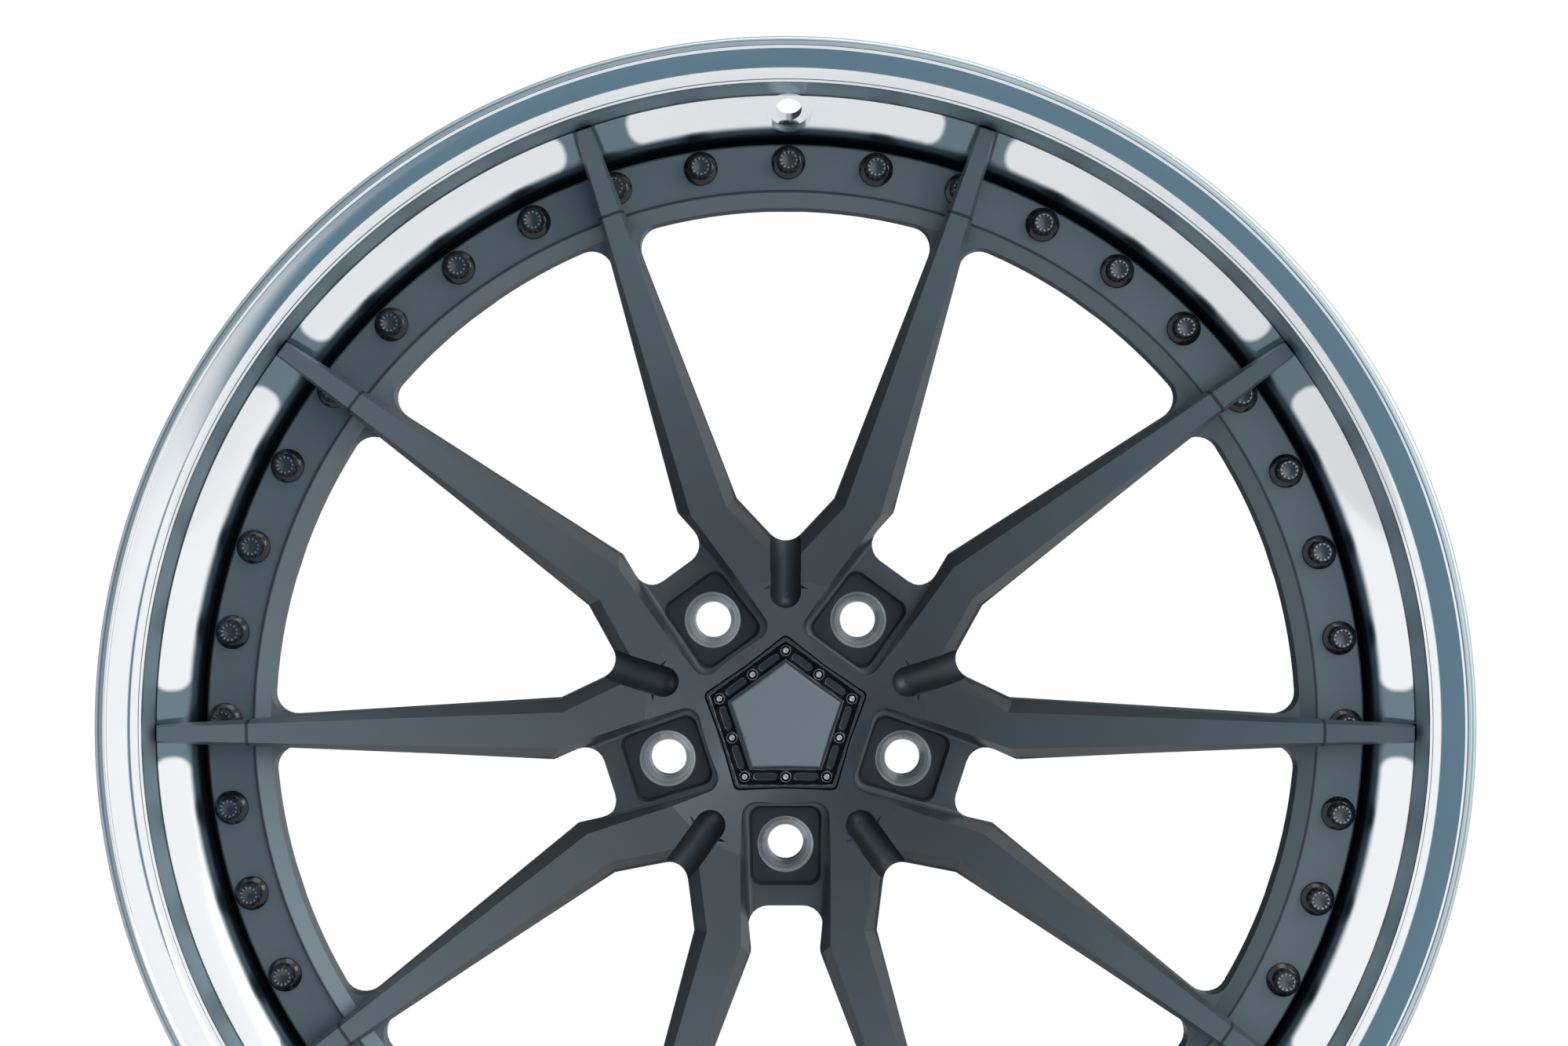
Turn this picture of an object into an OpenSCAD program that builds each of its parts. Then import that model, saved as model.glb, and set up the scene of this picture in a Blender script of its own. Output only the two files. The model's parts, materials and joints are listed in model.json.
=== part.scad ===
// Three-piece forged road wheel without its tyre, 22 x 9 inch, five lugs.
// Built face up along +Z, then stood upright: the face looks along -Y and +Z is up.

/* [Rim] */
// Diameter of the bead seats
rim_d = 558.8; // [533.4:0.2:584.2]
// Width between the inner faces of the two flanges
rim_w = 228.6; // [215.9:0.1:266.7]
// Height of the flanges above the bead seats
flange_h = 17.4; // [16:0.1:19]
// Width of each flange along the axle
flange_t = 12.7; // [12:0.1:14]
// Width of the bead seats
seat_w = 20; // [19:0.5:22]
// Taper of the bead seats in degrees
seat_taper = 5; // [4:0.5:6]
// Wall of the inner barrel
barrel_wall = 5; // [4:0.1:7]
// Depth of the well below the bead seats
well_depth = 17.4; // [15:0.1:19]
// Depth of the seam between the rim halves below the bead seats
seam_drop = 13.4; // [13:0.1:14.6]
// Clearance of the holes on the bolts, all round
hole_gap = 0.2; // [0.1:0.05:0.5]

/* [Outer lip] */
// Depth of the bolted ring below the front of the lip
lip_depth = 41; // [38:0.5:46]
// Distance from the lip's bore out to the foot of its polished slope
slope_foot = 4.8; // [4:0.1:5.6]
// Rise of the polished slope
slope_rise = 10.4; // [9:0.1:11]
// Depth of the steep wall's foot below the bead seats
wall_in = 3.8; // [3.4:0.1:4.6]
// Height of the steep wall between the slope and the flange
wall_rise = 17.1; // [15:0.1:18]
// Lean of the steep wall
wall_lean = 3.4; // [2.5:0.1:3.6]
// Depth of the bore that takes the ring of the centre below the seam
lip_bore_drop = 6.2; // [5.6:0.1:7]
// Tilt of the roll from the steep wall to the flange, where it starts, in degrees
roll_tilt = 65; // [55:1:70]
// Thickness of the lip's bolting flange
lip_flange_t = 5; // [4:0.1:7]
// Diameter of the valve hole
valve_d = 11.3; // [9:0.1:12.5]
// Diameter of the spot face round the valve hole
valve_pad_d = 20.6; // [16:0.1:22]
// Tilt of the valve hole from the axle in degrees
valve_tilt = 43.4; // [40:0.1:46]

/* [Bolting] */
// Number of assembly bolts
bolts = 40; // [20:1:44]
// Distance from the ring's edge in to the bolt circle
bolt_inset = 8.1; // [7.9:0.1:8.6]
// Turn of the bolt circle against the spokes in degrees
bolt_turn = 0.3; // [-1:0.1:1]
// Diameter of the bolts
bolt_d = 8; // [6:0.1:8.4]
// Diameter of the bolts' flanges
bolt_flange_d = 15; // [13:0.1:15.6]
// Height of the bolts' flanges
bolt_flange_h = 2.6; // [2:0.1:4]
// Width of the twelve-point heads across their flats
bolt_head_w = 9.2; // [8:0.1:11]
// Height of the twelve-point heads
bolt_head_h = 5.6; // [4:0.1:6.5]
// Width of the nuts across their flats
nut_w = 11; // [10:0.1:12]
// Height of the nuts
nut_h = 7; // [5:0.1:9]
// Diameter of the nut washers
washer_d = 14; // [12.9:0.1:14.4]
// Thickness of the nut washers
washer_t = 1.6; // [1:0.1:2.5]
// Thickness of the barrel's bolting flange
barrel_flange_t = 5; // [4:0.1:7]
// Reach of both bolting flanges inside the bolt circle
flange_reach = 8.5; // [8:0.1:10]

/* [Centre] */
// Offset of the mounting pad from the rim's middle, towards the face
offset_et = 43; // [38:0.5:48]
// Radius of the mounting pad
pad_r = 77; // [74:0.5:79]
// Gap between the bolted ring and the lip's bore
ring_gap = 3.2; // [2.4:0.1:3.6]
// Thickness of the bolted ring
ring_t = 13; // [11:0.1:15]
// Distance from the bolt circle in to the step
step_inset = 12.5; // [11.8:0.1:13.5]
// Height of that step
step_h = 1.5; // [0.8:0.1:2]
// Width of the band between the step and the windows
band_w = 7.3; // [6:0.1:8.5]
// Fall of that band
band_fall = 4; // [2:0.1:5]
// Height of the hub beside the cap, above the pad
hub_rim_h = 22; // [21:0.1:24]
// Height of the spoke roots above the pad
root_h = 34; // [31:0.5:36]
// Radius of the crease between the hub and the spoke roots
crease_r = 63; // [58:0.5:68]
// Reach of the spoke tips over the lip's polished slope
tip_reach = 9.2; // [8:0.1:9.6]
// Depth of the spoke tips below the front of the lip
tip_depth = 16; // [14:0.5:18]
// Clearance under the spoke tips
tip_gap = 2.5; // [2:0.1:4]
// Thickness of the spoke web at the hub
web_root_t = 18; // [15:0.5:20]

/* [Spokes] */
// Number of spoke pairs
pairs = 5; // [5:1:5]
// Angle of each spoke from the middle of its pair in degrees
spoke_angle = 18; // [17.6:0.1:18.4]
// Offset of the spokes from the radial line
spoke_shift = 3.7; // [3:0.1:4.4]
// Half width of the spokes at the root
spoke_root_w = 13.6; // [13:0.1:14.2]
// Half width of the spokes at the tip
spoke_tip_w = 4.1; // [3.8:0.1:4.6]
// Half width of the spoke faces at the root
face_root_w = 7.9; // [7:0.1:8.6]
// Half width of the spoke faces at the tip
face_tip_w = 3; // [2.6:0.1:3.4]
// Lean of the spoke flanks, run over fall
flank_lean = 0.34; // [0.3:0.01:0.4]
// Place of the bend in the spokes along their length
bend_u = 104; // [102:0.5:106]
// Radius at which the two arms of a pair would meet
fork_r = 76.9; // [76:0.1:78]
// Radius at which the faces of the two arms would meet
fork_face_r = 67.8; // [67:0.1:69]
// Half opening angle of the fork in degrees
fork_angle = 43.4; // [43:0.1:44]
// Corner radius of the windows at the ring
window_fillet = 9.5; // [7:0.1:11]
// Radius of the narrow end of the windows inside the pairs
fork_fillet = 9.6; // [8:0.1:11]
// Radius of the groove cutter between the arms
groove_r = 6.9; // [6:0.1:7.4]
// Radius at which the groove's round end is centred
groove_end_r = 57.6; // [56:0.1:60]
// Depth of the groove's floor below the crease
groove_depth = 15; // [12:0.1:17]

/* [Lug pockets] */
// Pitch circle diameter of the lugs
lug_pcd = 112; // [110:0.1:114.3]
// Diameter of the lug holes
lug_d = 16.2; // [14:0.1:16.6]
// Diameter of the machined lug seats
lug_seat_d = 24.8; // [23:0.1:26]
// Included angle of the lug seats in degrees
lug_cone = 60; // [55:1:65]
// Depth of the straight wall above each cone
lug_wall = 2; // [1:0.1:3]
// Height of the lower pocket floor above the pad
pocket_low_h = 19; // [18:0.1:20.5]
// Height of the upper pocket floor above the pad
pocket_floor_h = 23.5; // [22.5:0.1:25]
// Half width of the pockets at their floor, beside the cap
pocket_w = 19.6; // [19:0.1:20.2]
// Half width of the pockets at their floor, at the spokes' bend
pocket_end_w = 16.4; // [16:0.1:16.8]
// Spread of the pocket walls from the floor to the face
pocket_draft = 2.4; // [1.8:0.1:2.8]
// Radius of the rounding along the pockets' floor
pocket_fillet = 2.6; // [2:0.1:3]
// Radius of the inner walls of the pockets
pocket_in_r = 36; // [35.8:0.1:36.6]
// Half width of the lower pockets
low_w = 15.8; // [15:0.1:16.4]
// Radius of the outer edge of the lower pockets
low_out_r = 74.2; // [73:0.1:75]
// Radius of the inner ends of the outer windows
window_in_r = 83.3; // [82.5:0.1:84.5]
// Corner radius at the inner ends of the outer windows
window_in_fillet = 9; // [7:0.1:10]

/* [Hub and cap] */
// Diameter of the centre bore
bore_d = 66.6; // [63:0.1:67.1]
// Depth of the centre bore
bore_depth = 8; // [6.5:0.1:8.5]
// Diameter of the hole that the cap plugs into
cap_hole_d = 58; // [56:0.1:59]
// Distance from the axle to the sides of the cap
cap_side = 31; // [30.6:0.1:31.2]
// Corner radius of the cap
cap_corner = 3; // [2:0.1:4]
// Hollow of the cap's sides
cap_dip = 0.8; // [0:0.1:1]
// Clearance round the cap
cap_gap = 0.5; // [0.3:0.05:0.6]
// Thickness of the cap's base plate
cap_base_t = 2; // [1.6:0.1:2.5]
// Thickness of the cap's frame
cap_frame_t = 4.4; // [4:0.1:5]
// Distance from the axle to the sides of the centre plate
plate_side = 21.2; // [20:0.1:21.6]
// Height of the centre plate above the frame
plate_proud = 0.7; // [0.3:0.1:1.2]
// Width of the hidden rim that holds the centre plate
plate_rim = 1.2; // [0.8:0.1:1.4]
// Distance from the axle to the row of cap screws
screw_row = 25.5; // [25.3:0.1:25.7]
// Diameter of the cap screws' heads
screw_head_d = 3; // [2.6:0.1:3.2]
// Diameter of the cap screws
screw_d = 1.6; // [1.4:0.1:2]
// Length of the cap screws below their heads
screw_len = 4; // [3.6:0.1:4.4]
// Width of the slots between the cap screws
slot_w = 3.6; // [3:0.1:3.8]
// Depth of the slots between the cap screws
slot_depth = 1.8; // [1:0.1:2.2]
// Thickness of the sealing cord
ring_cord = 2.4; // [2:0.1:2.8]
// Thickness of the retaining wire
wire_d = 1.6; // [1.4:0.1:1.8]

/* [Hidden] */
// Fineness of the large turned parts and of the small ones
$fn = 120;
small_fn = 40;
// Overlap that keeps joined and cut shapes from sharing a face
eps = 0.6;
// Step between the window walls and the flanks that stand on them
flank_step = 0.4;

// Levels along the axle
front_z = rim_w / 2 + flange_t;
seat_z = rim_w / 2;
face_z = front_z - lip_depth;
ring_back_z = face_z - ring_t;
seam_z = ring_back_z - lip_flange_t;
nut_z = seam_z - barrel_flange_t;
pad_z = offset_et;
hub_rim_z = pad_z + hub_rim_h;
root_z = pad_z + root_h;
tip_z = front_z - tip_depth;
floor_z = pad_z + pocket_floor_h;
low_z = pad_z + pocket_low_h;
web_out_z = face_z + step_h - band_fall;
groove_z = root_z - groove_depth + groove_r;

// Radii of the rim
seat_r = rim_d / 2;
flange_r = seat_r + flange_h;
edge_r = 4.2;
seam_r = seat_r - seam_drop;
lip_bore_r = seam_r - lip_bore_drop;
slope_foot_r = lip_bore_r + slope_foot;
slope_w = seat_r - wall_in - slope_foot_r;
ring_r = lip_bore_r - ring_gap;
bolt_circle_r = ring_r - bolt_inset;
step_r = bolt_circle_r - step_inset;
window_r = step_r - band_w;
flange_bore_r = bolt_circle_r - flange_reach;
tip_r = slope_foot_r + tip_reach;
well_r = seat_r - well_depth;
seat_drop = seat_w * tan(seat_taper);

// Cap levels and pentagon
cap_floor_z = hub_rim_z - cap_base_t - cap_frame_t - 0.6;
cap_top_z = cap_floor_z + cap_base_t + cap_frame_t;
screw_head_z = cap_top_z - 1.6;
land_z = pad_z + bore_depth;
plug_h = cap_floor_z - land_z - 0.4;
o_ring_z = cap_floor_z - 0.9 - ring_cord / 2;
wire_z = o_ring_z - ring_cord / 2 - 0.8 - wire_d / 2;
half_turn = 180 / pairs;

function polar(r, a) = [r * cos(a), r * sin(a)];
function arc(c, r, a0, a1, n = 8) =
    [for (i = [0 : n]) c + polar(r, a0 + (a1 - a0) * i / n)];
function mix(a, b, t) = a + (b - a) * t;
function mirrored(pts) = [for (i = [len(pts) - 1 : -1 : 0]) [-pts[i][0], pts[i][1]]];
function unit(v) = v / norm(v);
// Corner at b between a and c, rounded to radius r
function corner(a, b, c, r, n = 6) =
    let (u = unit(a - b), v = unit(c - b), m = unit(u + v))
    let (half = acos(min(1, u * v)) / 2, o = b + m * r / sin(half))
    let (p = b + u * r / tan(half) - o, q = b + v * r / tan(half) - o)
    let (a0 = atan2(p[1], p[0]), turn = atan2(q[1], q[0]) - a0)
    let (sweep = turn > 180 ? turn - 360 : turn < -180 ? turn + 360 : turn)
    arc(o, r, a0, a0 + sweep, n);

// Height of the spoke faces and of the web's top at a radius
function face_top(r) = mix(root_z, tip_z, (r - crease_r) / (tip_r - crease_r));
function web_top(r) = mix(floor_z + 0.5, web_out_z, (r - 90) / (window_r - 90));

// Point of a pair's plan from a place along a spoke and across it
function spoke_point(u, v) =
    [u * sin(spoke_angle) + v * cos(spoke_angle), u * cos(spoke_angle) - v * sin(spoke_angle)];
function spoke_w(u) = mix(spoke_root_w, spoke_tip_w, (u - bend_u) / (tip_r - bend_u));
function face_w(u) = mix(face_root_w, face_tip_w, (u - bend_u) / (tip_r - bend_u));

// Stands what is built along the axle upright
module upright() {
    rotate([90, 0, 0]) children();
}

// Repeats a shape once for each pair, the first one up
module each_pair(first = 0) {
    for (i = [0 : pairs - 1]) rotate(first + i * 360 / pairs) children();
}

module each_bolt() {
    for (i = [0 : bolts - 1]) rotate(-bolt_turn + i * 360 / bolts)
        translate([0, bolt_circle_r, 0]) children();
}

// Solid through outlines of as many points, one at each height, capped from a point inside
module stack(outlines, heights, mid = [0, 0]) {
    n = len(outlines[0]);
    top = len(outlines) - 1;
    last = n * (top + 1);
    polyhedron(
        concat([for (k = [0 : top]) for (p = outlines[k]) [p[0], p[1], heights[k]]],
            [[mid[0], mid[1], heights[0]], [mid[0], mid[1], heights[top]]]),
        [for (i = [0 : n - 1]) let (j = (i + 1) % n) each concat(
            [[i, j, last], [n * top + j, n * top + i, last + 1]],
            [for (k = [0 : n : n * top - 1]) [k + i, k + n + i, k + n + j, k + j]])]);
}

// Wheel centre

// End of a window at the ring: the side line from p, leaning a degrees outwards
function window_end(p, a) =
    let (d = [sin(a), cos(a)], n = [-cos(a), sin(a)], q = p + n * window_fillet)
    let (b = q * d, r = window_r - window_fillet, t = -b + sqrt(b * b - q * q + r * r))
    let (o = q + d * t, end = atan2(o[1], o[0]))
    concat(arc(o, window_fillet, -a, end, 8), arc([0, 0], window_r, end + 2, 88, 5));

// Bends of the spoke sides, towards the fork and towards the lug
side_angle = spoke_angle + atan((spoke_root_w - spoke_tip_w) / (tip_r - bend_u));
bend_v = spoke_w(bend_u);
fork_bend = let (t = (spoke_point(bend_u, spoke_shift - bend_v)))
    let (k = tan(side_angle), m = tan(fork_angle), y = (t[0] - k * t[1] + m * fork_r) / (m - k))
    [m * (y - fork_r), y];
lug_side = let (t = spoke_point(bend_u, spoke_shift + bend_v), a = half_turn)
    [t[1] * sin(a) - t[0] * cos(a), t[1] * cos(a) + t[0] * sin(a)];

// Window inside a pair, with its round narrow end
function fork_window() =
    let (half = concat(
        arc([0, fork_r + fork_fillet / sin(fork_angle)], fork_fillet, -90, -fork_angle, 6),
        [fork_bend], window_end(fork_bend, side_angle)))
    concat(half, mirrored(half));

// Window between two pairs, with its flat narrow end
function lug_window() =
    let (start = [pocket_end_w + 1.4, window_in_r])
    let (half = concat(
        corner([0, window_in_r], start, lug_side, window_in_fillet),
        [lug_side], window_end(lug_side, side_angle)))
    concat(half, mirrored(half));

// One spoke with its arm, as stations that each hold one side's foot, edge and crest
module spoke_bar() {
    over = 1;
    function side(foot, crest) =
        let (z = face_top(norm(crest)), run = norm(foot - crest))
        let (low = web_top(norm(foot)) - eps, edge = max(low + 0.2, z - run / flank_lean))
        let (out = crest + (crest - foot) * over / (z - edge))
        [[foot[0], foot[1], low], [foot[0], foot[1], edge], [out[0], out[1], z + over]];
    function station(u, sgn) = side(
        spoke_point(u, spoke_shift + sgn * (spoke_w(u) - flank_step)),
        spoke_point(u, spoke_shift + sgn * face_w(u)));
    fork_face = let (t = spoke_point(bend_u, spoke_shift - face_w(bend_u)), m = tan(fork_angle))
        let (k = tan(side_angle), y = (t[0] - k * t[1] + m * fork_face_r) / (m - k))
        [m * (y - fork_face_r), y];
    inset = flank_step / cos(fork_angle);
    across = [-1, -1 / tan(fork_angle)];
    far = tip_r + 6;
    inner_u = crease_r - 12;
    forks = [side([0, fork_r - inset] + across, [0, fork_face_r] + across),
             side(fork_bend + [flank_step, -flank_step / 2], fork_face), station(far, -1)];
    lugs = [station(inner_u, 1), station(bend_u, 1), station(far, 1)];
    pts = [for (i = [0 : 2]) each concat(forks[i], [lugs[i][2], lugs[i][1], lugs[i][0]])];
    polyhedron(pts, concat([[0, 1, 2, 3, 4, 5], [17, 16, 15, 14, 13, 12]],
        [for (s = [0, 6]) for (i = [0 : 5])
            [s + i, s + 6 + i, s + 6 + (i + 1) % 6, s + (i + 1) % 6]]));
}

// Turned blank under the spoke faces: hub, web and bolted ring
module web_blank() {
    rotate_extrude() polygon([
        [bore_d / 2 - 8, pad_z], [pad_r, pad_z], [pad_r + 3, web_top(pad_r) - web_root_t],
        [window_r - 2, ring_back_z - 3], [step_r, ring_back_z], [ring_r, ring_back_z],
        [ring_r, face_z - 0.8], [ring_r - 0.8, face_z], [step_r + 0.3, face_z],
        [step_r, face_z + step_h], [step_r - 0.6, face_z + step_h],
        [window_r, web_out_z], [90, floor_z + 0.5], [crease_r - 8, floor_z + 0.5],
        [crease_r - 8, floor_z - 8], [bore_d / 2 - 8, floor_z - 8]]);
}

// Turned blank that gives the spoke faces their height
module face_blank() {
    slope_z = slope_rise / slope_w;
    lift = tip_gap / cos(atan(slope_z));
    foot_z = face_z + 4 + lift;
    rotate_extrude() polygon([
        [bore_d / 2 - 8, floor_z - 9], [crease_r - 6, floor_z - 9],
        [crease_r - 6, floor_z + 0.5 - eps], [90, floor_z + 0.5 - eps], [window_r, web_out_z - eps],
        [step_r, face_z - eps], [ring_r - 1, face_z - eps], [ring_r - 1, foot_z - 1],
        [slope_foot_r - 3, foot_z - 1], [slope_foot_r, foot_z],
        [tip_r - 2, foot_z + slope_z * (tip_reach - 2)],
        [tip_r, foot_z + slope_z * tip_reach + 1.6], [tip_r, tip_z - 0.8], [tip_r - 0.6, tip_z],
        [crease_r, root_z], [cap_side + cap_gap, hub_rim_z], [bore_d / 2 - 8, hub_rim_z]]);
}

// Outline of a pocket in the lug's own direction
function pocket_outline(w, w_end, inner, outer, r) =
    let (a = [w, inner], b = [w_end, outer])
    let (half = concat(corner([0, inner], a, b, r), [b]))
    concat(half, mirrored(half));

module lug_pocket() {
    top_z = face_top(bend_u) + 6;
    grow = pocket_draft * (top_z - floor_z) / (root_z - floor_z) * 0.9;
    out = bend_u + 8;
    slope = (pocket_w - pocket_end_w) / (norm(lug_side) - pocket_in_r);
    low_end = pocket_w - slope * (out - pocket_in_r);
    round_in = [for (a = [0, 30, 60, 90]) pocket_fillet * (1 - sin(a))];
    round_up = [for (a = [0, 30, 60, 90]) pocket_fillet * (1 - cos(a))];
    stack(concat([for (g = round_in) pocket_outline(pocket_w - g, low_end - g,
        pocket_in_r + g, out, 6.5 - g)],
        [pocket_outline(pocket_w + grow, low_end + grow, pocket_in_r - grow, out, 7.5)]),
        concat([for (h = round_up) floor_z + h], [top_z]), [0, lug_pcd / 2]);
    low_in_r = pocket_in_r + 2.4;
    rise = floor_z + 1 - low_z;
    function low(g) = let (w = low_w - 1.2 + g, i = low_in_r + 1.2 - g, o = low_out_r - 1.2 + g)
        let (half = concat(corner([0, i], [w + 0.6, i], [w, o], 5),
            corner([w + 0.6, i], [w, o], [0, o], 5)))
        concat(half, mirrored(half));
    stack([low(0), low(1.2 * rise / (rise - 1))], [low_z, low_z + rise], [0, lug_pcd / 2]);
}

module lug_hole() {
    seat_z0 = low_z - lug_wall;
    cone_h = (lug_seat_d - lug_d) / 2 / tan(lug_cone / 2);
    translate([0, lug_pcd / 2, 0]) rotate_extrude($fn = small_fn) polygon([
        [0, pad_z - 1], [lug_d / 2, pad_z - 1], [lug_d / 2, seat_z0 - cone_h],
        [lug_seat_d / 2, seat_z0], [lug_seat_d / 2, seat_z0 + 20], [0, seat_z0 + 20]]);
}

module fork_groove() {
    length = fork_r + fork_fillet - groove_end_r;
    translate([0, groove_end_r, groove_z]) {
        sphere(r = groove_r, $fn = small_fn);
        cylinder(r = groove_r, h = 30, $fn = small_fn);
        rotate([-90, 0, 0]) cylinder(r = groove_r, h = length, $fn = small_fn);
        translate([-groove_r, 0, 0]) cube([2 * groove_r, length, 30]);
    }
}

module wheel_centre() color("#4b545b") upright() difference() {
    union() {
        difference() {
            web_blank();
            each_pair() translate([0, 0, pad_z - 1])
                linear_extrude(100) polygon(fork_window());
        }
        difference() {
            intersection() {
                face_blank();
                union() {
                    translate([0, 0, pad_z]) cylinder(r = crease_r - 3, h = 60);
                    each_pair() {
                        spoke_bar();
                        mirror([1, 0, 0]) spoke_bar();
                    }
                }
            }
            each_bolt() translate([0, 0, face_z - 3]) cylinder(d = bolt_flange_d + 4.6,
                h = bolt_flange_h + bolt_head_h + 4.4, $fn = small_fn);
        }
    }
    each_pair(half_turn) {
        lug_pocket();
        lug_hole();
        translate([0, 0, pad_z - 1]) linear_extrude(100) polygon(lug_window());
    }
    each_pair() fork_groove();
    translate([0, 0, cap_floor_z]) linear_extrude(40) polygon(cap_outline(cap_side + cap_gap));
    translate([0, 0, pad_z - 1]) cylinder(d = bore_d, h = bore_depth + 1);
    translate([0, 0, pad_z - 1]) cylinder(d = cap_hole_d, h = 40);
    translate([0, 0, wire_z]) rotate_extrude() translate([cap_hole_d / 2, 0])
        square([wire_d + 0.6, wire_d + 0.2], center = true);
    each_bolt() translate([0, 0, ring_back_z - 5])
        cylinder(d = bolt_d + 2 * hole_gap, h = ring_t + 10, $fn = small_fn);
}

// Rim halves

// Flange of the rim with its bead seat, from the front edge round to the end of the seat
function flange_back() =
    let (o = flange_r - edge_r, root = 6.5, r = seat_r + root)
    concat(arc([o, front_z - edge_r], edge_r, 90, -70, 12),
        arc([r + 2.6, seat_z + 2.6], 2.6, 250, 180, 4),
        arc([r, seat_z - root], root, 90, 180 + 90 - seat_taper, 8),
        [[seat_r - seat_drop, seat_z - seat_w], [seat_r - seat_drop + 0.7, seat_z - seat_w - 1.6],
         [seat_r - seat_drop + 0.4, seat_z - seat_w - 2.8]]);

module outer_lip() color("#c9ced2") upright() difference() {
    foot = [slope_foot_r, face_z + 4];
    head = foot + [slope_w, slope_rise];
    brow = head + [wall_lean, wall_rise];
    edge_in = [flange_r - edge_r, front_z];
    below = [lip_bore_r, foot[1] - slope_foot * slope_rise / slope_w];
    chord = edge_in - brow;
    end_tilt = 2 * atan2(chord[1], chord[0]) - roll_tilt;
    roll_r = norm(chord) / 2 / sin((roll_tilt - end_tilt) / 2);
    roll_c = brow - polar(roll_r, 90 + roll_tilt);
    back_z = foot[1] - 5.4;
    rotate_extrude() polygon(concat(
        flange_back(),
        [[head[0] - 1.6, back_z + slope_rise * 0.7], [seam_r + 1.2, back_z - 1],
         [seam_r, back_z - 3], [seam_r, seam_z + 2.5], [seam_r - 2.5, seam_z],
         [flange_bore_r, seam_z], [flange_bore_r, ring_back_z], [lip_bore_r, ring_back_z]],
        corner([lip_bore_r, ring_back_z], below, foot, 8, 6),
        corner(foot, head, brow, 3.6, 5),
        arc(roll_c, roll_r, 90 + roll_tilt, 90 + end_tilt + 5, 10)));
    each_bolt() translate([0, 0, seam_z - 1])
        cylinder(d = bolt_d + 2 * hole_gap, h = lip_flange_t + 2, $fn = small_fn);
    rotate(-bolt_turn) translate([0, slope_foot_r + slope_w / 2, face_z + 4 + slope_rise / 2])
        rotate([valve_tilt, 0, 0]) {
            translate([0, 0, -20]) cylinder(d = valve_d, h = 40, $fn = small_fn);
            translate([0, 0, -0.6]) cylinder(d = valve_pad_d, h = 12, $fn = small_fn);
        }
}

module inner_barrel() color("#9aa1a6") upright() difference() {
    well_end = -38;
    inner_r = well_r - barrel_wall;
    seat_in_r = seat_r - barrel_wall;
    tail = [for (p = flange_back()) [p[0], -p[1]]];
    n = len(tail) - 1;
    rotate_extrude() polygon(concat(
        [for (i = [n : -1 : 0]) tail[i]],
        [[flange_r - edge_r - 1.5, -front_z + 0.4], [seat_r + 1, -front_z + flange_t / 2],
         [seat_in_r + 0.6, -seat_z + 4], [seat_in_r - 1, 12 - seat_z], [inner_r, well_end - 2]],
        [[inner_r, nut_z - 1.2], [inner_r - 1.2, nut_z], [flange_bore_r, nut_z],
         [flange_bore_r, seam_z], [seam_r - 2.5, seam_z], [seam_r, seam_z - 2.5],
         [seam_r, seam_z - 6], [well_r, seam_z - 12], [well_r, well_end]]));
    each_bolt() translate([0, 0, nut_z - 1])
        cylinder(d = bolt_d + 2 * hole_gap, h = barrel_flange_t + 2, $fn = small_fn);
}

// Bead of sealant in the seam between the rim halves
module rim_sealant() color("#2c2f31") upright() {
    rotate_extrude() polygon([[seam_r - 2.4, seam_z], [seam_r, seam_z - 2.4],
        [seam_r + 0.7, seam_z - 1.6], [seam_r + 1.1, seam_z], [seam_r + 0.7, seam_z + 1.6],
        [seam_r, seam_z + 2.4]]);
}

// Bolting

module assembly_bolt() {
    shank = face_z - nut_z + washer_t + nut_h + 2;
    translate([0, 0, face_z]) difference() {
        union() {
            cylinder(d = bolt_flange_d, h = 0.9, $fn = small_fn);
            translate([0, 0, 0.9]) cylinder(d1 = bolt_flange_d - 0.6, d2 = bolt_head_w + 1.4,
                h = bolt_flange_h - 0.9, $fn = small_fn);
            for (a = [0, 30]) rotate(a)
                cylinder(d = bolt_head_w / cos(30), h = bolt_flange_h + bolt_head_h, $fn = 6);
        }
        translate([0, 0, bolt_flange_h + bolt_head_h - 0.8])
            cylinder(d = bolt_head_w * 0.62, h = 2, $fn = small_fn);
    }
    translate([0, 0, face_z - shank]) cylinder(d = bolt_d, h = shank + 0.5, $fn = small_fn);
}

module assembly_bolts() color("#15181a") upright() each_bolt() assembly_bolt();

module assembly_nuts() color("#5b6064") upright() each_bolt()
    translate([0, 0, nut_z - washer_t - nut_h]) difference() {
        cylinder(d = nut_w / cos(30), h = nut_h, $fn = 6);
        translate([0, 0, -1]) cylinder(d = bolt_d + 0.1, h = nut_h + 2, $fn = small_fn);
    }

module nut_washers() color("#8c9297") upright() each_bolt()
    translate([0, 0, nut_z - washer_t]) difference() {
        cylinder(d = washer_d, h = washer_t, $fn = small_fn);
        translate([0, 0, -1]) cylinder(d = bolt_d + 0.5, h = washer_t + 2, $fn = small_fn);
    }

// Cap

// Pentagon of the cap with hollow sides and round corners, one corner up
function cap_outline(side, dip = cap_dip, r = cap_corner) =
    let (o = (side - r) / cos(half_turn))
    [for (i = [0 : pairs - 1]) let (a = 90 + i * 360 / pairs)
        each concat(arc(polar(o, a), r, a - half_turn + 4, a + half_turn - 4, 6),
            [polar(side - dip, a + half_turn)])];

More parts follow.
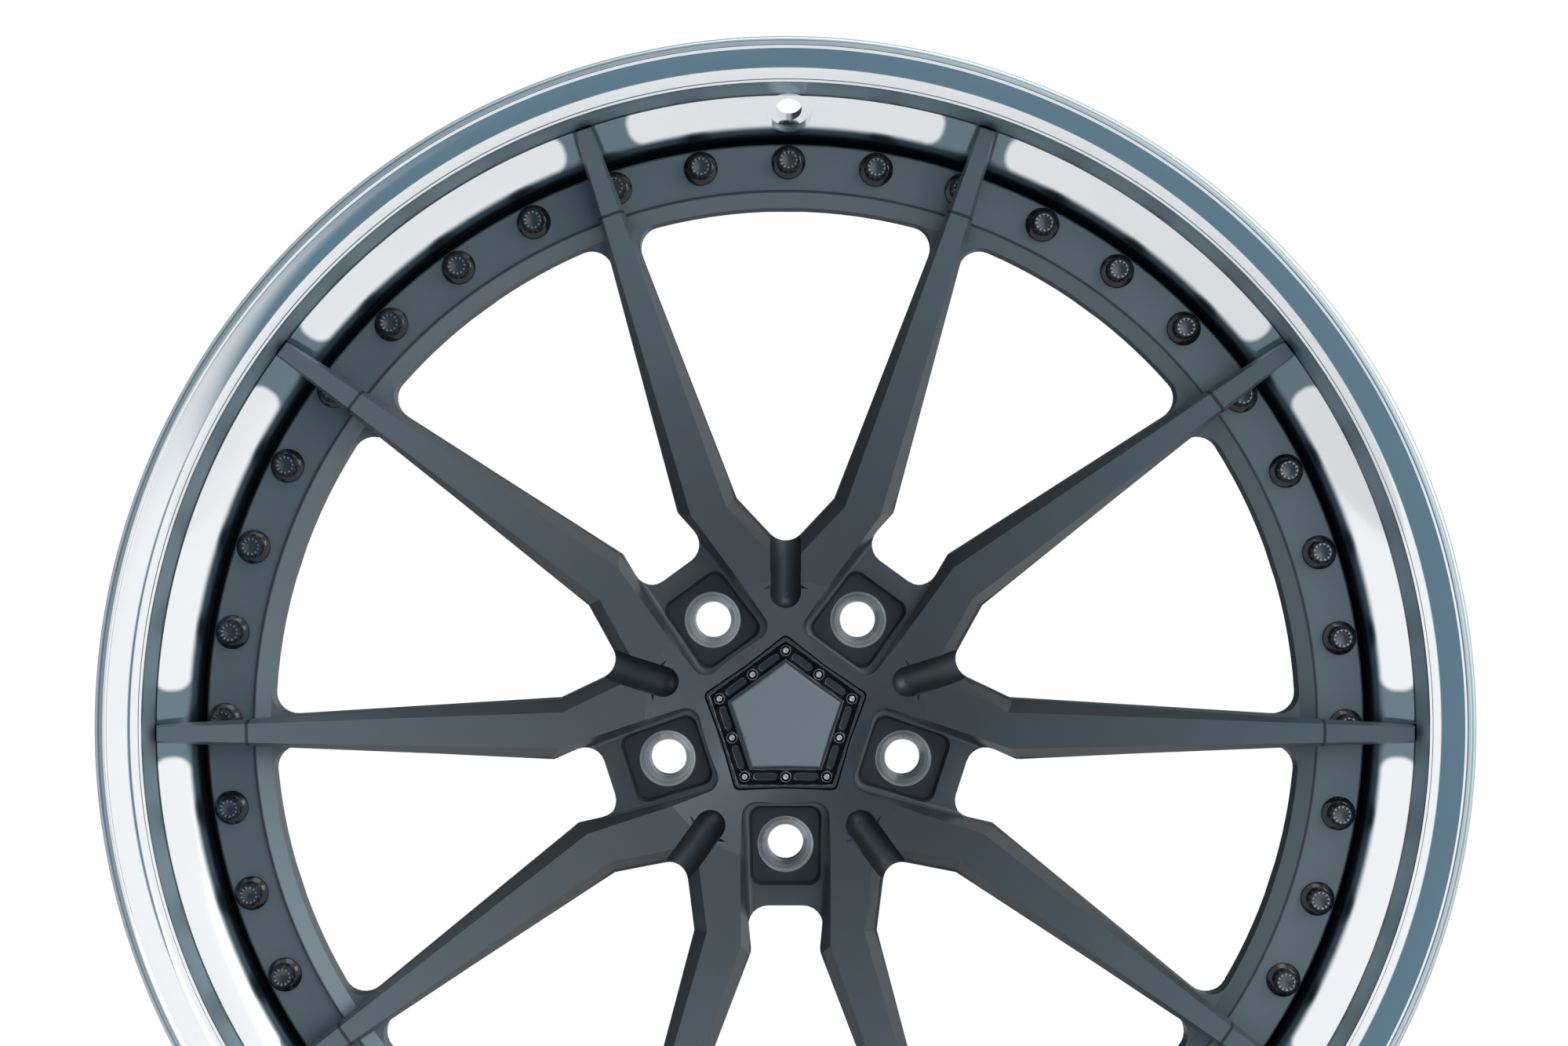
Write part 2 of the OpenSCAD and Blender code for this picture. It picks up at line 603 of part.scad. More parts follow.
module cap_base() color("#1d2023") upright() {
    plug_r = cap_hole_d / 2 - 0.3;
    wall = 5;
    difference() {
        union() {
            translate([0, 0, cap_floor_z]) linear_extrude(cap_base_t) polygon(cap_outline(cap_side));
            translate([0, 0, cap_floor_z - plug_h]) cylinder(r = plug_r, h = plug_h + 0.5);
        }
        translate([0, 0, cap_floor_z - plug_h - 1]) cylinder(r = plug_r - wall, h = plug_h - 1);
        translate([0, 0, o_ring_z]) rotate_extrude() translate([plug_r, 0])
            square([2 * ring_cord - 0.4, ring_cord + 0.2], center = true);
        translate([0, 0, wire_z]) rotate_extrude() translate([plug_r, 0])
            square([2 * wire_d - 1, wire_d + 0.2], center = true);
        cap_screw_places() translate([0, 0, screw_head_z - screw_len - 0.2])
            cylinder(d = screw_d + 0.1, h = 20, $fn = 24);
    }
}

// Ten places on the pentagon: each corner and each side's middle
module cap_screw_place(i) {
    r = i % 2 == 0 ? screw_row / cos(half_turn) : screw_row;
    rotate(i * half_turn) translate([0, r, 0]) children();
}

module cap_screw_places() {
    for (i = [0 : 2 * pairs - 1]) cap_screw_place(i) children();
}

// Straight slot with round ends, along X
module slot(length, width) {
    run = length - width;
    translate([-run / 2, -width / 2, 0]) cube([run, width, 5]);
    for (s = [-1, 1]) translate([s * run / 2, 0, 0]) cylinder(d = width, h = 5, $fn = 24);
}

module cap_frame() color("#17191b") upright() difference() {
    z0 = cap_floor_z + cap_base_t;
    open_side = plate_side + 0.15;
    slot_l = screw_row * tan(half_turn) - screw_head_d - 4.2;
    translate([0, 0, z0]) linear_extrude(cap_frame_t) polygon(cap_outline(cap_side));
    translate([0, 0, z0 - 1]) linear_extrude(20) polygon(cap_outline(open_side, 0.3, 0.4));
    translate([0, 0, z0 - 1]) linear_extrude(2.3)
        polygon(cap_outline(open_side + plate_rim, 0.3, 0.4));
    cap_screw_places() {
        translate([0, 0, z0 - 1]) cylinder(d = screw_d + 0.4, h = 20, $fn = 24);
        translate([0, 0, screw_head_z]) cylinder(d = screw_head_d + 0.9, h = 5, $fn = 24);
    }
    each_pair(half_turn) for (s = [-1, 1])
        translate([s * (screw_row * tan(half_turn) / 2 - 0.2), screw_row, cap_top_z - slot_depth])
            slot(slot_l, slot_w);
}

module cap_plate() color("#6b767e") upright() {
    z0 = cap_floor_z + cap_base_t;
    top = cap_top_z + plate_proud;
    translate([0, 0, z0]) linear_extrude(1.2) polygon(cap_outline(plate_side + plate_rim, 0.3, 0.4));
    stack([for (d = [0, 0, 0.8]) cap_outline(plate_side - d, 0.3, 0.4)], [z0 + 1, top - 0.8, top]);
}

module cap_o_ring() color("#101010") upright()
    translate([0, 0, o_ring_z]) rotate_extrude()
        translate([cap_hole_d / 2 - ring_cord / 2 - 0.05, 0]) circle(d = ring_cord, $fn = 24);

// Open wire ring that springs out into the groove of the cap's hole
module cap_wire_ring() color("#b9bec2") upright()
    translate([0, 0, wire_z]) rotate(98) rotate_extrude(angle = 344)
        translate([cap_hole_d / 2 + 0.2, 0]) circle(d = wire_d, $fn = 24);

module cap_screw(i) color("#d5dadd") upright() cap_screw_place(i - 1) {
    difference() {
        translate([0, 0, screw_head_z])
            cylinder(d1 = screw_head_d, d2 = screw_head_d - 0.5, h = 1.4, $fn = 24);
        translate([0, 0, screw_head_z + 0.7]) cylinder(d = screw_head_d * 0.45, h = 2, $fn = 6);
    }
    translate([0, 0, screw_head_z - screw_len]) cylinder(d = screw_d, h = screw_len + 0.2, $fn = 24);
}

wheel_centre();
outer_lip();
inner_barrel();
assembly_bolts();
assembly_nuts();
nut_washers();
rim_sealant();
cap_base();
cap_frame();
cap_plate();
cap_o_ring();
cap_wire_ring();
cap_screw(1);  // cap_screw_1
cap_screw(2);  // cap_screw_2
cap_screw(3);  // cap_screw_3
cap_screw(4);  // cap_screw_4
cap_screw(5);  // cap_screw_5
cap_screw(6);  // cap_screw_6
cap_screw(7);  // cap_screw_7
cap_screw(8);  // cap_screw_8
cap_screw(9);  // cap_screw_9
cap_screw(10);  // cap_screw_10
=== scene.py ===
# Split rim wheel: a forged centre bolted between a polished outer lip and an inner barrel.
# Lengths are in metres. The wheel stands upright: its face looks along -Y and +Z is up.
import json
import math

import bmesh
import bpy
import numpy as np
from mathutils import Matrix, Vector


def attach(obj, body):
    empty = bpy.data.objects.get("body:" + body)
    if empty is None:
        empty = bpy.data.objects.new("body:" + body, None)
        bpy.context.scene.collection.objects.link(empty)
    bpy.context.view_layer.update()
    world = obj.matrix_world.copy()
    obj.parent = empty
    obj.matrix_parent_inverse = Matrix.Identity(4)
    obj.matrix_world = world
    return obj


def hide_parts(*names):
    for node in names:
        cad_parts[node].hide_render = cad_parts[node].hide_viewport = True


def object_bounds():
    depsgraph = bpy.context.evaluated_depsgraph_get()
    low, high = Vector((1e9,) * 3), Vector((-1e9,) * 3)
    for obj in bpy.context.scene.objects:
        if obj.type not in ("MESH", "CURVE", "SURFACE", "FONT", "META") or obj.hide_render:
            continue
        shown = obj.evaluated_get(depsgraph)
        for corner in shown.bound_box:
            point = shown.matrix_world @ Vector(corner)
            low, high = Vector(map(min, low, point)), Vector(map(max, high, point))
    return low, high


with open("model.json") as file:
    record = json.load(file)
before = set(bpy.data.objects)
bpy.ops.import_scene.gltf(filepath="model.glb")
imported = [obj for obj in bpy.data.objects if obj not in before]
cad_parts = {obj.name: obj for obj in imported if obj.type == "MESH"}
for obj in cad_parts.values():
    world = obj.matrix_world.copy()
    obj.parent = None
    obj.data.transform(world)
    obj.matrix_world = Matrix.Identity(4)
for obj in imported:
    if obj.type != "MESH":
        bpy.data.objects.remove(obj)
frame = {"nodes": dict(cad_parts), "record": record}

cad_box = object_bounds()
cad = frame["nodes"]
mounts = {mount["name"]: mount for mount in frame["record"]["mounts"]}


# Inner barrel
# The rear half of the rim, spun and flow formed from an aluminium disc, then turned and satin
# anodised. Its front flange is drilled for the ring of assembly bolts.

class Shade:
    """A value in a shader tree. Arithmetic on it adds Math nodes to that tree."""

    def __init__(self, finish, socket):
        self.finish = finish
        self.socket = socket

    def math(self, operation, *values):
        return self.finish.add("ShaderNodeMath", {"operation": operation}, dict(enumerate((self, *values))))

    def __add__(self, other):
        return self.math("ADD", other)

    def __sub__(self, other):
        return self.math("SUBTRACT", other)

    def __rsub__(self, other):
        return self.math("MULTIPLY", -1.0).math("ADD", other)

    def __mul__(self, other):
        return self.math("MULTIPLY", other)

    __radd__ = __add__
    __rmul__ = __mul__

    def ramp(self, low, high):
        """0 at low, 1 at high, and smooth between them."""
        settings = {"interpolation_type": "SMOOTHSTEP"}
        return self.finish.add("ShaderNodeMapRange", settings, {0: self, 1: low, 2: high})


class Finish:
    """A material or a world, with its shader tree."""

    def __init__(self, owner):
        self.owner = owner
        owner.use_nodes = True
        self.tree = owner.node_tree
        self.tree.nodes.clear()

    def add(self, kind, settings=None, inputs=None, out=0):
        node = self.tree.nodes.new(kind)
        for name, value in (settings or {}).items():
            setattr(node, name, value)
        for name, value in (inputs or {}).items():
            socket = node.inputs[name]
            if isinstance(value, Shade):
                self.tree.links.new(value.socket, socket)
            else:
                socket.default_value = value
        return Shade(self, node.outputs[out])

    def point(self):
        return self.add("ShaderNodeTexCoord", out="Object")

    def axes(self, point):
        return [self.add("ShaderNodeSeparateXYZ", {}, {0: point}, out=i) for i in range(3)]

    def joined(self, x, y, z):
        return self.add("ShaderNodeCombineXYZ", {}, {0: x, 1: y, 2: z})

    def noise(self, point, scale, detail=2.0):
        return self.add("ShaderNodeTexNoise", {}, {"Vector": point, "Scale": scale, "Detail": detail})

    def blend(self, share, first, second):
        return self.add("ShaderNodeMix", {"data_type": "RGBA"}, {0: share, 6: first, 7: second}, out=2)

    def rounded(self, radius):
        """The surface's normal with its edges rounded off."""
        return self.add("ShaderNodeBevel", {"samples": 6}, {"Radius": radius})

    def bump(self, height, distance, normal=None):
        inputs = {"Height": height, "Distance": distance}
        if normal:
            inputs["Normal"] = normal
        return self.add("ShaderNodeBump", {}, inputs)

    def surface(self, **inputs):
        named = {name.replace("_", " ").title(): value for name, value in inputs.items()}
        return self.end("ShaderNodeOutputMaterial", self.add("ShaderNodeBsdfPrincipled", {}, named))

    def end(self, kind, shader):
        last = self.tree.nodes.new(kind)
        self.tree.links.new(shader.socket, last.inputs["Surface"])
        return self.owner


def finish(name):
    return Finish(bpy.data.materials.new(name))


def wear(piece, material):
    """Gives a piece one material."""
    piece.data.materials.clear()
    piece.data.materials.append(material)


def barrel_satin():
    made = finish("barrel_satin")
    point = made.point()
    x, y, z = made.axes(point)
    lines = made.noise(made.joined(0.0, y, 0.0), 2600.0)
    cloud = made.noise(point, 14.0)
    colour = made.blend(cloud, (0.50, 0.52, 0.54, 1), (0.60, 0.62, 0.64, 1))
    return made.surface(base_color=colour, metallic=1.0, roughness=0.30 + 0.10 * cloud,
                        normal=made.bump(lines, 0.00002))


wear(cad["inner_barrel"], barrel_satin())


# Outer lip
# The front half of the rim, turned from a forging, then polished and clear coated. It bolts to
# the front of the barrel, with the centre's ring let into its bore.

LIP_STEPS = 448
FRONT = 0.127
FLANGE_R = 0.2968
FLANGE_WIDE = 0.0127
FRONT_EDGE_R = 0.0015
EDGE_R = 0.0042
HEEL_R = 0.0026
ROOT_R = 0.0065
SEAT_R = 0.2794
SEAT_WIDE = 0.020
SEAT_TAPER = math.radians(5)
SEAM_R = 0.266
BORE_R = 0.2598
BOLTING_BORE_R = 0.240
RING_BACK = 0.073
SEAM = 0.068
SPOKES = 10
BOLTS = 40
BOLT_CIRCLE_R = 0.2485
BOLT_TURN = math.radians(0.3)
BOLT_HOLE_R = 0.0042
VALVE_PLACE = (0.2701, 0.0952)
VALVE_TILT = math.radians(43.4)
VALVE_HOLE_R = 0.00565
VALVE_PAD_R = 0.0103
VALVE_PAD_DEEP = 0.0006
SHARP_ANGLE = 28  # degrees

# Where the masks of the polish start and end: radii, or places along the axle with a Y in front.
GAP_BORE = (BORE_R + 0.0002, BORE_R + 0.0008)
Y_GAP = (-0.0840, -0.0800)
TOE_END = (0.2630, 0.2655)
WALL_FOOT = (0.2754, 0.2762)
WALL_HEAD = (0.2781, 0.2784)
Y_WALL = (-0.119, -0.1175)
PANEL_END = (0.2768, 0.2776)
PANEL_OFF_AXLE = (-0.180, -0.177)
EDGE_START = (0.2929, 0.2933)

# The panel between two spokes, as a slot with round ends. Outside it, beside each spoke, the polish is
# painted dark as a reflection of the spoke.
PANEL_R = 0.2699
PANEL_FLAT = 0.0008
PANEL_ASIDE = 0.0205
PANEL_END_R = 0.0055
PANEL_BLUR = (-0.0010, 0.0016)


def arc(centre, radius, start, end, steps):
    """Points of an arc in the profile's plane, from one angle in degrees to another."""
    turns = [math.radians(start + (end - start) * i / steps) for i in range(steps + 1)]
    return [(centre[0] + radius * math.cos(a), centre[1] + radius * math.sin(a)) for a in turns]


# How steeply the front of the lip leans at each radius, in degrees: the panel beside the ring,
# the wall, the fine bead on its top, the roll and the raised bead at the flange's edge. The
# line is followed in short steps and then moved along the axle to end at the flange's front.
LEANS = [(0.2646, 38), (0.2750, 47), (0.2754, 54), (0.2758, 63), (0.2762, 80.5), (0.2782, 82.6),
         (0.2784, 50), (0.2791, 45), (0.2793, 55), (0.2796, 51), (0.2802, 46), (0.2812, 42), (0.2819, 37),
         (0.2827, 30), (0.2840, 24), (0.2865, 17), (0.2900, 11), (0.2914, 12), (0.2918, 34), (0.2923, 46),
         (0.2927, 30), (0.2932, 3), (0.2938, 0)]
FRONT_STEP = 0.0004


def lip_front():
    """The front of the lip from the panel's foot outwards, ending at the flange's front."""
    points = [(LEANS[0][0], 0.0)]
    for (r0, lean0), (r1, lean1) in zip(LEANS, LEANS[1:]):
        steps = max(2, round((r1 - r0) / FRONT_STEP))
        for i in range(steps):
            lean = math.radians(lean0 + (lean1 - lean0) * (i + 0.5) / steps)
            r, z = points[-1]
            points.append((r + (r1 - r0) / steps, z + (r1 - r0) / steps * math.tan(lean)))
    down = FRONT - points[-1][1]
    return [(r, z + down) for r, z in points]


def lip_profile():
    """The closed outline of the lip's section, as radii and heights in front of the middle plane."""
    front = lip_front()
    foot_r, foot_z = front[0]
    turn = 90 - LEANS[0][1]
    toe_r = (foot_r - BORE_R) / (1 - math.cos(math.radians(turn)))
    toe = (BORE_R + toe_r, foot_z - toe_r * math.sin(math.radians(turn)))
    seat_z = FRONT - FLANGE_WIDE
    root_at = SEAT_R + ROOT_R
    seat_end = SEAT_R - SEAT_WIDE * math.tan(SEAT_TAPER)
    crown = [(0.2942, FRONT - 0.00002), (0.2950, FRONT - 0.00008), (0.2953, FRONT - 0.00020)]
    flange = (arc((FLANGE_R - FRONT_EDGE_R, FRONT - 0.0017), FRONT_EDGE_R, 85, 0, 10)
              + arc((FLANGE_R - EDGE_R, FRONT - EDGE_R), EDGE_R, 0, -70, 12)
              + arc((root_at + HEEL_R, seat_z + HEEL_R), HEEL_R, 250, 180, 8)
              + arc((root_at, seat_z - ROOT_R), ROOT_R, 90, 265, 24))
    hump = [(seat_end, seat_z - SEAT_WIDE), (seat_end + 0.0007, seat_z - 0.0216),
            (seat_end + 0.0004, seat_z - 0.0228)]
    back = [(0.2740, 0.0919), (SEAM_R + 0.0012, 0.0836), (SEAM_R, 0.0816), (SEAM_R, SEAM + 0.0025),
            (SEAM_R - 0.0025, SEAM)]
    bore = [(BOLTING_BORE_R, SEAM), (BOLTING_BORE_R, RING_BACK), (BORE_R, RING_BACK)]
    return front[:-1] + crown + flange + hump + back + bore + arc(toe, toe_r, 180, 180 - turn + 3, 14)


def settle(piece):
    """Applies a piece's modifiers and takes them off."""
    shown = piece.evaluated_get(bpy.context.evaluated_depsgraph_get())
    mesh = bpy.data.meshes.new_from_object(shown)
    piece.modifiers.clear()
    piece.data = mesh


def by_nodes(piece, label, sizes, build):
    """Reshapes a piece with a Geometry Nodes tree, whose sizes are its named inputs."""
    tree = bpy.data.node_groups.new(label, "GeometryNodeTree")
    sockets = tree.interface
    sockets.new_socket("Shape", in_out="INPUT", socket_type="NodeSocketGeometry")
    values = {}
    for name, (kind, value) in sizes.items():
        socket = sockets.new_socket(name, in_out="INPUT", socket_type="NodeSocket" + kind)
        values[socket.identifier] = value
    sockets.new_socket("Shape", in_out="OUTPUT", socket_type="NodeSocketGeometry")

    def add(kind, settings=None, inputs=None):
        node = tree.nodes.new(kind)
        for name, value in (settings or {}).items():
            setattr(node, name, value)
        for name, value in (inputs or {}).items():
            if isinstance(value, bpy.types.NodeSocket):
                tree.links.new(value, node.inputs[name])
            else:
                node.inputs[name].default_value = value
        return node.outputs

    given = add("NodeGroupInput")
    real = add("GeometryNodeRealizeInstances", {}, {"Geometry": build(add, given)})[0]
    dressed = add("GeometryNodeSetMaterial", {}, {"Geometry": real, "Material": given["Finish"]})[0]
    add("NodeGroupOutput", {}, {"Shape": dressed})
    modifier = piece.modifiers.new(label, "NODES")
    modifier.node_group = tree
    for identifier, value in values.items():
        modifier[identifier] = value
    settle(piece)


def outward(piece):
    """Turns a closed piece's faces outwards."""
    shell = bmesh.new()
    shell.from_mesh(piece.data)
    bmesh.ops.recalc_face_normals(shell, faces=shell.faces)
    shell.to_mesh(piece.data)
    shell.free()


def turned(name, profile, steps, material):
    """Turns a profile of radii and heights in front of the middle plane about the axle."""
    mesh = bpy.data.meshes.new(name)
    count = len(profile)
    mesh.from_pydata([(r - SEAT_R, -z, 0.0) for r, z in profile],
                     [(i, (i + 1) % count) for i in range(count)], [])
    piece = bpy.data.objects.new(name, mesh)
    bpy.context.scene.collection.objects.link(piece)

    def build(add, given):
        outline = add("GeometryNodeMeshToCurve", {}, {"Mesh": given["Shape"]})[0]
        path = add("GeometryNodeCurvePrimitiveCircle", {},
                   {"Resolution": given["Steps"], "Radius": given["Radius"]})[0]
        wall = add("GeometryNodeCurveToMesh", {}, {"Curve": path, "Profile Curve": outline})[0]
        return add("GeometryNodeTransform", {}, {"Geometry": wall, "Rotation": (math.pi / 2, 0, 0)})[0]

    by_nodes(piece, "turn", {"Steps": ("Int", steps), "Radius": ("Float", SEAT_R),
                             "Finish": ("Material", material)}, build)
    outward(piece)
    return piece


def drill(piece, rods):
    """Cuts cylinders out of a piece, each given as its place, way, radius, two ends and sides."""
    shell = bmesh.new()
    for at, way, radius, low, high, sides in rods:
        way = np.array(way) / np.linalg.norm(way)
        side = np.cross(way, (1.0, 0.0, 0.0))
        side = side / np.linalg.norm(side)
        other = np.cross(way, side)
        turns = [2 * math.pi * i / sides for i in range(sides)]
        rim = [radius * (math.cos(a) * side + math.sin(a) * other) for a in turns]
        rings = [[shell.verts.new(np.array(at) + way * along + point) for point in rim]
                 for along in (low, high)]
        shell.faces.new(rings[0])
        shell.faces.new(rings[1])
        for i in range(sides):
            j = (i + 1) % sides
            shell.faces.new((rings[0][j], rings[0][i], rings[1][i], rings[1][j]))
    mesh = bpy.data.meshes.new("drills")
    shell.to_mesh(mesh)
    shell.free()
    drills = bpy.data.objects.new("drills", mesh)
    bpy.context.scene.collection.objects.link(drills)
    outward(drills)
    modifier = piece.modifiers.new("drill", "BOOLEAN")
    modifier.operation = "DIFFERENCE"
    modifier.solver = "EXACT"
    modifier.object = drills
    settle(piece)
    bpy.data.objects.remove(drills)


def smooth(piece, angle):
    """Shades a piece smooth, apart from edges sharper than an angle in degrees."""
    piece.data.shade_smooth()
    piece.data.set_sharp_from_angle(angle=math.radians(angle))
    weighted = piece.modifiers.new("weighted", "WEIGHTED_NORMAL")
    weighted.keep_sharp = True
    settle(piece)


def bolt_places():
    turns = [BOLT_TURN + 2 * math.pi * i / BOLTS for i in range(BOLTS)]
    return [(BOLT_CIRCLE_R * math.sin(a), 0.0, BOLT_CIRCLE_R * math.cos(a)) for a in turns]


def lip_polish():
    """Mirror polish, with a dull wall tinted blue as a painted reflection, a rougher toe, painted
    reflections of the spokes as dark patches beside them, painted black shade in the gap at the bore and a
    lathed edge.
    """
    made = finish("lip_polish")
    point = made.point()
    x, y, z = made.axes(point)
    radius = (x * x + z * z).math("SQRT")
    cloud = made.noise(point, 30.0)
    haze = made.noise(point, 900.0)
    # The floor of the narrow gap at the bore is painted black as painted shade, and made rougher.
    painted_gap_shade = (1 - radius.ramp(*GAP_BORE)) * y.ramp(*Y_GAP)
    toe = 1 - radius.ramp(*TOE_END)
    wall = radius.ramp(*WALL_FOOT) * (1 - radius.ramp(*WALL_HEAD)) * y.ramp(*Y_WALL)
    edge = radius.ramp(*EDGE_START)

    # Beside each spoke the polish is painted dark slate: a painted reflection of the spoke.
    half = math.pi / SPOKES
    beside = x.math("ARCTAN2", z).math("PINGPONG", half)
    aside = radius * (half - beside).math("SINE")
    inset = (PANEL_ASIDE - aside).math("MAXIMUM", 0.0)
    beyond = ((radius - PANEL_R).math("ABSOLUTE") - PANEL_FLAT).math("MAXIMUM", 0.0)
    outside = (inset * inset + beyond * beyond).math("SQRT") - PANEL_END_R
    face = (-1.0 * y - radius).ramp(*PANEL_OFF_AXLE)
    painted_spoke_reflection = outside.ramp(*PANEL_BLUR) * (1 - wall) * (1 - radius.ramp(*PANEL_END)) * face

    polished = made.blend(cloud, (0.84, 0.87, 0.89, 1), (0.89, 0.915, 0.93, 1))
    polish_with_painted_reflections = made.blend(painted_spoke_reflection, polished, (0.135, 0.20, 0.24, 1))
    # The wall's rougher finish is real; its pale blue tint is a painted reflection.
    with_wall_reflection_tint = made.blend(wall, polish_with_painted_reflections, (0.58, 0.74, 0.82, 1))
    marks = made.noise(made.joined(radius, 0.0, 0.0), 1100.0)
    lathed = made.blend(marks.ramp(0.42, 0.58), (0.30, 0.38, 0.42, 1), (0.70, 0.78, 0.80, 1))
    edged = made.blend(edge, with_wall_reflection_tint, lathed)
    colour = made.blend(painted_gap_shade, edged, (0.004, 0.005, 0.006, 1))
    roughness = 0.06 + 0.04 * cloud + 0.42 * wall + 0.24 * toe + 0.34 * edge + 0.2 * painted_gap_shade
    return made.surface(base_color=colour, metallic=1.0, roughness=roughness,
                        normal=made.bump(haze, 0.0000015), coat_weight=0.3, coat_roughness=0.03)


outer_lip = turned("outer_lip_turned", lip_profile(), LIP_STEPS, lip_polish())
valve_r, valve_z = VALVE_PLACE
valve_at = (valve_r * math.sin(BOLT_TURN), -valve_z, valve_r * math.cos(BOLT_TURN))
valve_way = (-math.sin(VALVE_TILT) * math.sin(BOLT_TURN), -math.cos(VALVE_TILT),
             -math.sin(VALVE_TILT) * math.cos(BOLT_TURN))
bolt_holes = [(place, (0, -1, 0), BOLT_HOLE_R, SEAM - 0.001, RING_BACK + 0.001, 32)
              for place in bolt_places()]
drill(outer_lip, bolt_holes + [(valve_at, valve_way, VALVE_HOLE_R, -0.02, 0.02, 96)])
drill(outer_lip, [(valve_at, valve_way, VALVE_PAD_R, -VALVE_PAD_DEEP, 0.012, 128)])
smooth(outer_lip, SHARP_ANGLE)
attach(outer_lip, "root")
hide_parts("outer_lip")


# Sealant
# A bead of black silicone, run round the seam between the rim halves by hand.

def sealant_black():
    made = finish("sealant_black")
    ripple = made.noise(made.point(), 220.0)
    return made.surface(base_color=(0.02, 0.02, 0.022, 1), roughness=0.35 + 0.2 * ripple,
                        normal=made.bump(ripple, 0.0002))


wear(cad["rim_sealant"], sealant_black())


# Wheel centre
# Forged and milled from one block, then powder coated in satin gunmetal. The lug seats and
# the pad behind the hub are machined after coating, so bare metal shows there.

LUGS = 5
LUG_SEAT = (0.0125, 0.0127)
Y_LUG_SEAT = (-0.0622, -0.0618)
PAD = (0.0765, 0.0770)
Y_PAD = (-0.0433, -0.0431)
# Radii over which the coat is painted from darker to lighter, as light falloff.
PAINTED_LIGHT_SPREAD = (0.045, 0.270)
GROOVE_INSIDE = (0.2347, 0.2352)
GROOVE_OUTSIDE = (0.2361, 0.2366)
Y_GROOVE = (-0.082, -0.078)
# Where the pocket floors are darkened as painted shade.
POCKET = (0.019, 0.026)
Y_POCKET = (-0.0690, -0.0625)


def centre_satin():
    """Satin coat, painted darker towards the hub and lighter towards the rim as light falloff, with a fine
    groove round the ring, pocket floors darkened as painted shade and bare machined faces.
    """
    made = finish("centre_satin")
    point = made.point()
    x, y, z = made.axes(point)
    turn = 2 * math.pi / LUGS
    lug_r = mounts["lug_holes"]["dims"]["pcd_mm"] / 2000
    folded = x.math("ARCTAN2", z).math("PINGPONG", turn / 2)
    from_middle = turn / 2 - folded
    radius = (x * x + z * z).math("SQRT")
    across = radius * from_middle.math("SINE")
    along = radius * from_middle.math("COSINE") - lug_r
    from_lug = (across * across + along * along).math("SQRT")
    seat = (1 - from_lug.ramp(*LUG_SEAT)) * y.ramp(*Y_LUG_SEAT)
    pad = y.ramp(*Y_PAD) * (1 - radius.ramp(*PAD))
    bare = seat.math("MAXIMUM", pad)

    grain = made.noise(point, 1600.0, 3.0)
    broad = made.noise(point, 11.0)
    # Painted light: the coat is darker towards the hub and lighter towards the rim, with a little random
    # tone.
    coat_with_painted_light = made.blend(0.8 * radius.ramp(*PAINTED_LIGHT_SPREAD) + 0.2 * broad, (0.062, 0.074, 0.083, 1),
                      (0.134, 0.174, 0.196, 1))
    groove = radius.ramp(*GROOVE_INSIDE) * (1 - radius.ramp(*GROOVE_OUTSIDE)) * (1 - y.ramp(*Y_GROOVE))
    # The lug pockets' floors are darkened towards black as painted shade.
    pocket_shade = y.ramp(*Y_POCKET) * (1 - from_lug.ramp(*POCKET))
    grooved_and_pocket_shaded = made.blend(groove * 0.7 + pocket_shade * 0.62, coat_with_painted_light, (0.008, 0.010, 0.012, 1))
    rings = made.noise(made.joined(from_lug, 0.0, 0.0), 2200.0)
    metal = made.blend(rings.ramp(0.35, 0.65), (0.46, 0.51, 0.53, 1), (0.94, 0.98, 1.00, 1))
    colour = made.blend(bare, grooved_and_pocket_shaded, metal)
    height = bare * rings + (1 - bare) * grain
    return made.surface(base_color=colour, metallic=0.75 + 0.25 * bare, roughness=0.44 - 0.20 * bare,
                        normal=made.bump(height, 0.00003))


wear(cad["wheel_centre"], centre_satin())


# Assembly bolts, nuts and washers
# Forty flanged twelve-point bolts in black oxide clamp the centre and both rim halves. Plain
# nuts on washers hold them behind the barrel's flange.

BOLT_FACE = 0.086
BOLT_BACK = 0.063
BOLT_END = BOLT_BACK - 0.0106
HEAD_FLAT_R = 0.0046
HEAD_TOP = BOLT_FACE + 0.0082
BOLT_SIDES = 48
Y_CROWN = (0.0010 - HEAD_TOP, 0.0012 - HEAD_TOP)
# Twelve bright marks at the star's points, which are painted highlights.
STAR_POINTS = 12
GLINT_WIDE = (0.07, 0.12)
GLINT_INSIDE = (0.0029, 0.0031)
GLINT_OUTSIDE = (0.0036, 0.0038)


def stacked(name, rings):
    """A closed piece through rings of as many points, with the last joined to the first."""
    count = len(rings[0])
    faces = []
    for k in range(len(rings)):
        here = k * count
        there = (k + 1) % len(rings) * count
        for i in range(count):
            j = (i + 1) % count
            faces.append((here + i, here + j, there + j, there + i))
    mesh = bpy.data.meshes.new(name)
    mesh.from_pydata([point for ring in rings for point in ring], [], faces)
    piece = bpy.data.objects.new(name, mesh)
    bpy.context.scene.collection.objects.link(piece)
    outward(piece)
    return piece


def round_ring(radius, height, count):
    """Points round the axle, at a height in front of the middle plane."""
    turns = [2 * math.pi * i / count for i in range(count)]
    return [(radius * math.sin(a), -height, radius * math.cos(a)) for a in turns]


def star_ring(flat_r, height, most=1.0):
    """Twelve points of two crossed hexagons, cut off beyond a radius."""
    ring = []
    for i in range(BOLT_SIDES):
        a = 2 * math.pi * i / BOLT_SIDES
        off = abs((math.degrees(a) + 15) % 30 - 15)
        r = min(most, flat_r / math.cos(math.radians(30 - off)))
        ring.append((r * math.sin(a), -height, r * math.cos(a)))
    return ring


